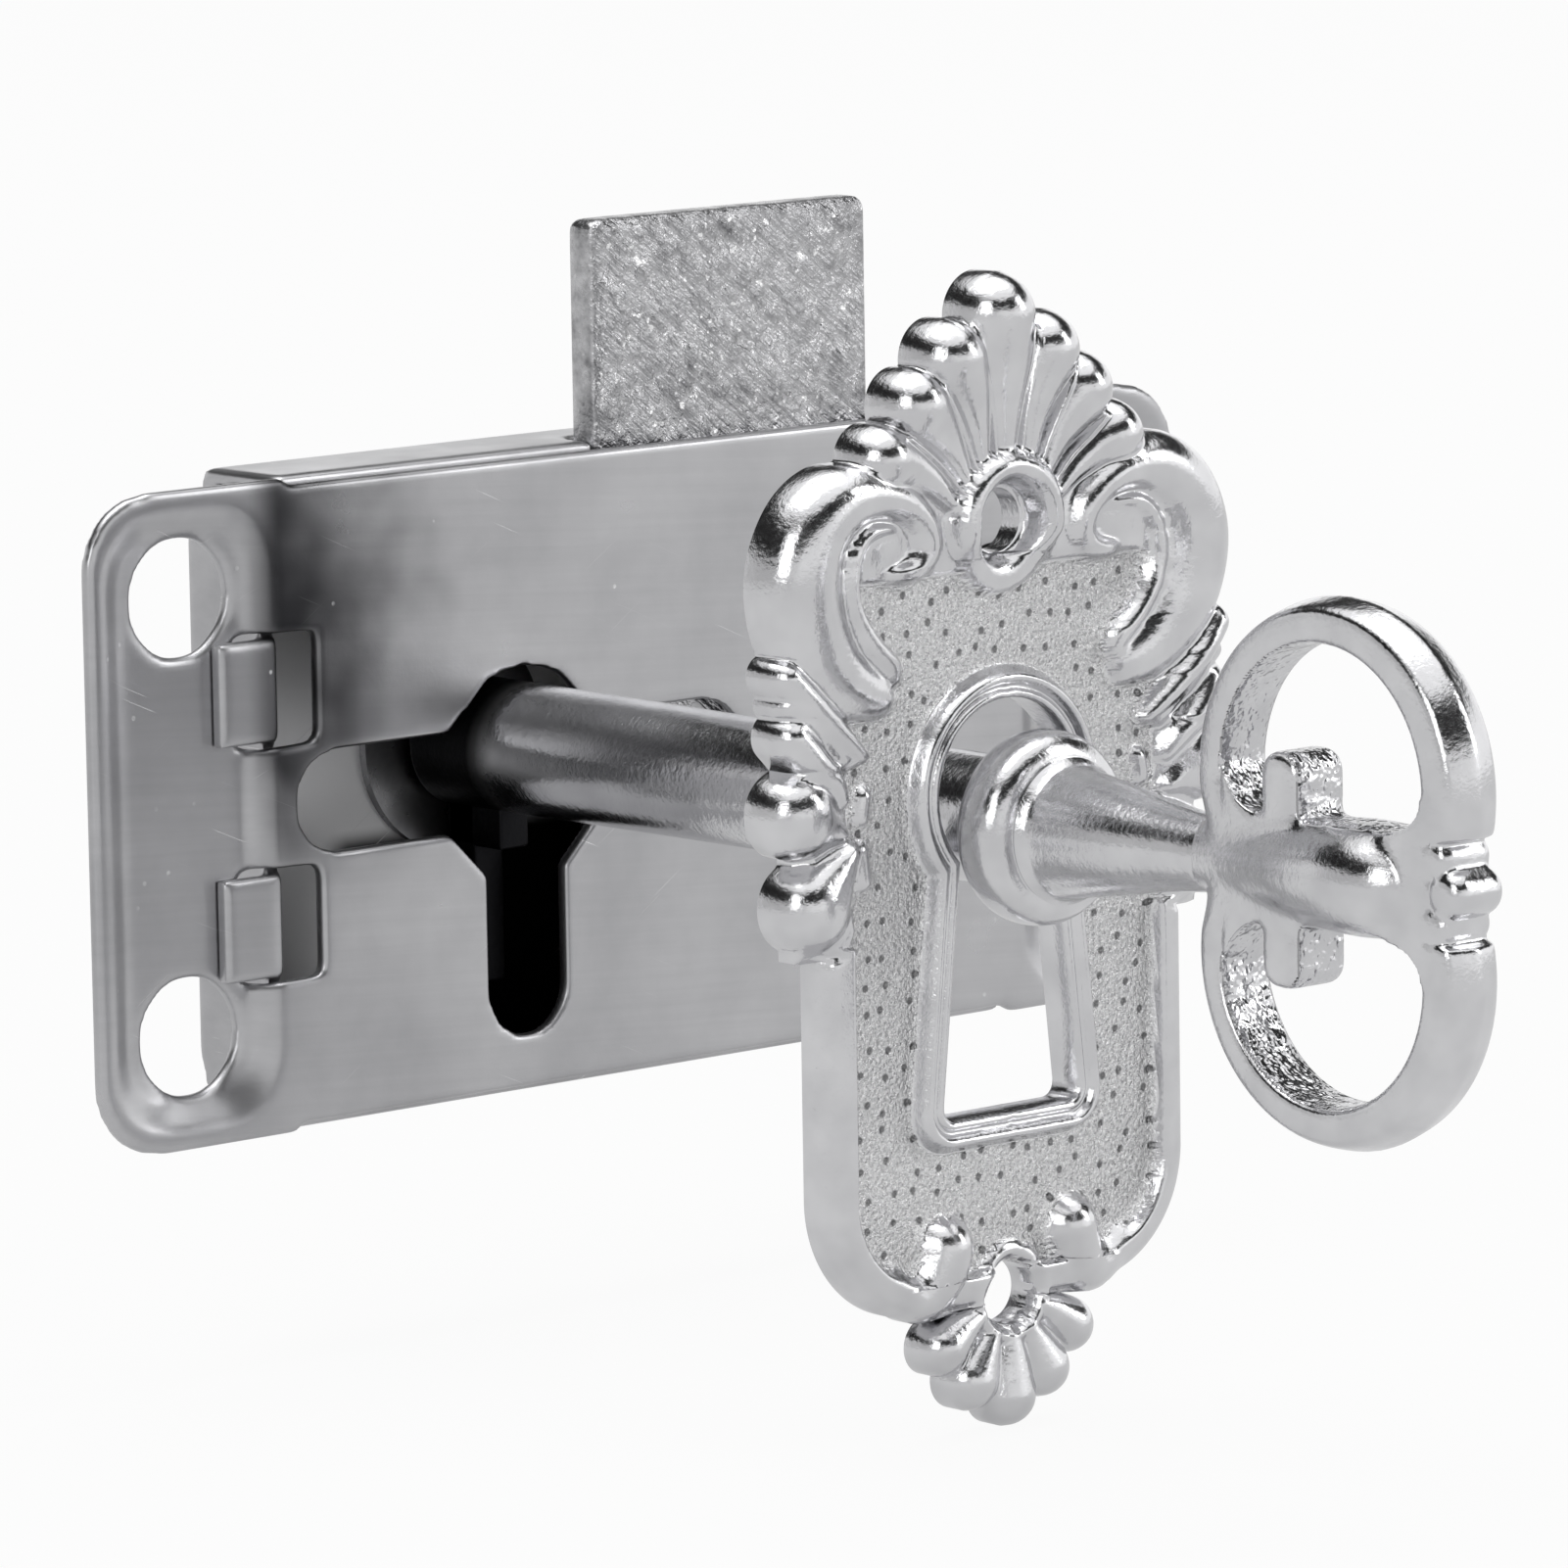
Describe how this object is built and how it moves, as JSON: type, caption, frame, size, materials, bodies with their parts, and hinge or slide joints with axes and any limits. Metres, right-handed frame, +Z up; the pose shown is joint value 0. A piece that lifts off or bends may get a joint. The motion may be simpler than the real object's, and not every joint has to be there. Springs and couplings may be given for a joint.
{
  "type": "cabinet lock with escutcheon and key",
  "caption": "Surface-mounted cabinet lock with a folded sheet-metal case, sliding bolt, ornamental cast escutcheon and barrel key with a two-loop bow.",
  "frame": {"origin": "centre of the face plate and of its four fixing holes, on the face that lies against the inside of the door", "axes": "+X to the right seen from outside the door, +Y into the cabinet along the key, +Z up, the way the bolt is thrown"},
  "size_m": [0.0702, 0.0729, 0.0542],
  "materials": {
    "plated_sheet": "satin zinc-plated steel sheet with fine scratches",
    "raw_casting": "zinc alloy casting, tumbled and plated dull, with a fine grain",
    "turned_steel": "turned steel",
    "spring_steel": "tempered strip",
    "plated_casting": "bright nickel plate over a zinc casting"
  },
  "bodies": {
    "lock_case": {"front_plate": "plated_sheet", "case": "plated_sheet", "drill_pin": "turned_steel", "bolt_guide_stud": "turned_steel", "friction_spring": "spring_steel", "spring_rivet": "turned_steel", "escutcheon": "plated_casting"},
    "bolt": {"bolt": "raw_casting"},
    "key": {"key": "plated_casting"}
  },
  "joints": [
    {"name": "key_turn", "type": "hinge", "parent": "lock_case", "child": "key", "pos_m": [-0.0087, 0, 0.0013], "axis": [0, 1, 0], "range_deg": [0, 360]},
    {"name": "bolt_slide", "type": "slide", "parent": "lock_case", "child": "bolt", "axis": [0, 0, 1], "range_m": [-0.0105, 0]}
  ],
  "couplings": [
    {"joint": "bolt_slide", "follows": "key_turn", "m_per_rad": -0.00167}
  ]
}
